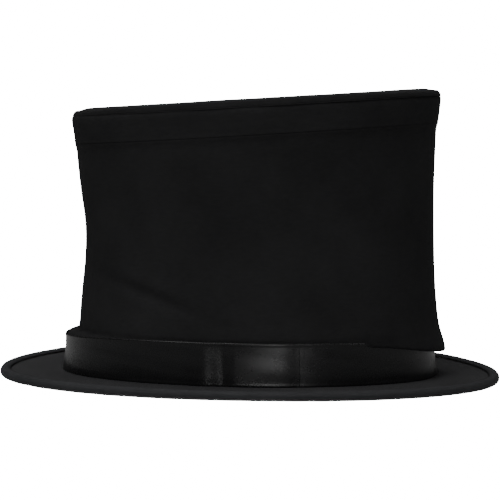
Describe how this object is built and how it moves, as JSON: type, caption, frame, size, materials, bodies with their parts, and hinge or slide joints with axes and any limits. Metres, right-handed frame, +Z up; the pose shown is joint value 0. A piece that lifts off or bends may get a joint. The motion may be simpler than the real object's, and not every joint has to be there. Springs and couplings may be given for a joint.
{
  "type": "top hat",
  "caption": "Folding top hat: flat oval brim with a rolled edge, ribbon band, waisted cloth crown and sloping tip on a hinged spring frame that collapses.",
  "frame": {"origin": "middle of the underside of the brim's rolled edge, on the surface that the hat stands on", "axes": "+Z up through the crown, -X to the front of the hat, -Y to the wearer's left"},
  "size_m": [0.278, 0.252, 0.1632],
  "materials": {
    "crown_cloth": "black satin-backed poplin, soft sheen",
    "brim_cloth": "black poplin stretched over board",
    "binding_cloth": "black rolled edge cloth",
    "ribbon": "glossy black satin ribbon",
    "bow_ribbon": "black satin",
    "lining_cloth": "dark lining sateen",
    "sweatband_leather": "dark leather",
    "board": "stiffened board",
    "cord": "cotton cord",
    "spring_steel": "blued spring steel strip",
    "arm_steel": "stamped steel",
    "bracket_steel": "stamped steel",
    "spring_wire": "spring wire",
    "rivet_steel": "plated rivet"
  },
  "bodies": {
    "base": {"brim_board": "board", "brim_top_cloth": "brim_cloth", "brim_under_cloth": "brim_cloth", "brim_edge_cord": "cord", "brim_binding": "binding_cloth", "sweatband": "sweatband_leather", "sweatband_bow": "bow_ribbon", "base_hoop": "spring_steel", "base_rivets": "rivet_steel", "hat_band": "ribbon", "hat_band_lap": "ribbon", "crown_cloth": "crown_cloth", "base_bracket_front": "bracket_steel", "base_bracket_back": "bracket_steel", "base_bracket_left": "bracket_steel", "base_bracket_right": "bracket_steel", "base_pins": "rivet_steel"},
    "lower_front": {"lower_arm_front": "arm_steel", "elbow_pin_front": "rivet_steel", "spring_lower_front": "spring_wire"},
    "upper_front": {"upper_arm_front": "arm_steel", "spring_upper_front": "spring_wire"},
    "lower_back": {"lower_arm_back": "arm_steel", "elbow_pin_back": "rivet_steel", "spring_lower_back": "spring_wire"},
    "upper_back": {"upper_arm_back": "arm_steel", "spring_upper_back": "spring_wire"},
    "lower_left": {"lower_arm_left": "arm_steel", "elbow_pin_left": "rivet_steel", "spring_lower_left": "spring_wire"},
    "upper_left": {"upper_arm_left": "arm_steel", "spring_upper_left": "spring_wire"},
    "lower_right": {"lower_arm_right": "arm_steel", "elbow_pin_right": "rivet_steel", "spring_lower_right": "spring_wire"},
    "upper_right": {"upper_arm_right": "arm_steel", "spring_upper_right": "spring_wire"},
    "crown_top": {"top_bracket_front": "bracket_steel", "top_bracket_back": "bracket_steel", "top_bracket_left": "bracket_steel", "top_bracket_right": "bracket_steel", "top_pins": "rivet_steel", "top_rivets": "rivet_steel", "top_hoop": "spring_steel", "tip_lining": "lining_cloth", "tip_board": "board", "tip_cloth": "crown_cloth"}
  },
  "joints": [
    {"name": "front_base_hinge", "type": "hinge", "parent": "base", "child": "lower_front", "pos_m": [-0.09, 0, 0.029], "axis": [0, 1, 0], "range_deg": [0, 75], "deforming": ["crown_cloth"]},
    {"name": "front_elbow", "type": "hinge", "parent": "lower_front", "child": "upper_front", "pos_m": [-0.08432, 0, 0.08307], "axis": [0, 1, 0], "range_deg": [-150, 0]},
    {"name": "crown_top_hinge", "type": "hinge", "parent": "upper_front", "child": "crown_top", "pos_m": [-0.09, 0, 0.13714], "axis": [0, 1, 0], "range_deg": [0, 78.17]},
    {"name": "back_base_hinge", "type": "hinge", "parent": "base", "child": "lower_back", "pos_m": [0.09, 0, 0.029], "axis": [0, -1, 0], "range_deg": [0, 71.05]},
    {"name": "back_elbow", "type": "hinge", "parent": "lower_back", "child": "upper_back", "pos_m": [0.07986, 0, 0.08961], "axis": [0, -1, 0], "range_deg": [-142.1, 0]},
    {"name": "left_base_hinge", "type": "hinge", "parent": "base", "child": "lower_left", "pos_m": [0, -0.073, 0.029], "axis": [-1, 0, 0], "range_deg": [0, 72.98]},
    {"name": "left_elbow", "type": "hinge", "parent": "lower_left", "child": "upper_left", "pos_m": [0, -0.06514, 0.08634], "axis": [-1, 0, 0], "range_deg": [-145.96, 0]},
    {"name": "right_base_hinge", "type": "hinge", "parent": "base", "child": "lower_right", "pos_m": [0, 0.073, 0.029], "axis": [1, 0, 0], "range_deg": [0, 72.98]},
    {"name": "right_elbow", "type": "hinge", "parent": "lower_right", "child": "upper_right", "pos_m": [0, 0.06514, 0.08634], "axis": [1, 0, 0], "range_deg": [-145.96, 0]}
  ],
  "couplings": [
    {"joint": "front_elbow", "follows": "front_base_hinge", "ratio": -2},
    {"joint": "crown_top_hinge", "follows": "front_base_hinge", "ratio": 1.0416},
    {"joint": "back_base_hinge", "follows": "front_base_hinge", "ratio": 0.9467},
    {"joint": "back_elbow", "follows": "front_base_hinge", "ratio": -1.8934},
    {"joint": "left_base_hinge", "follows": "front_base_hinge", "ratio": 0.9724},
    {"joint": "left_elbow", "follows": "front_base_hinge", "ratio": -1.9448},
    {"joint": "right_base_hinge", "follows": "front_base_hinge", "ratio": 0.9724},
    {"joint": "right_elbow", "follows": "front_base_hinge", "ratio": -1.9448}
  ]
}
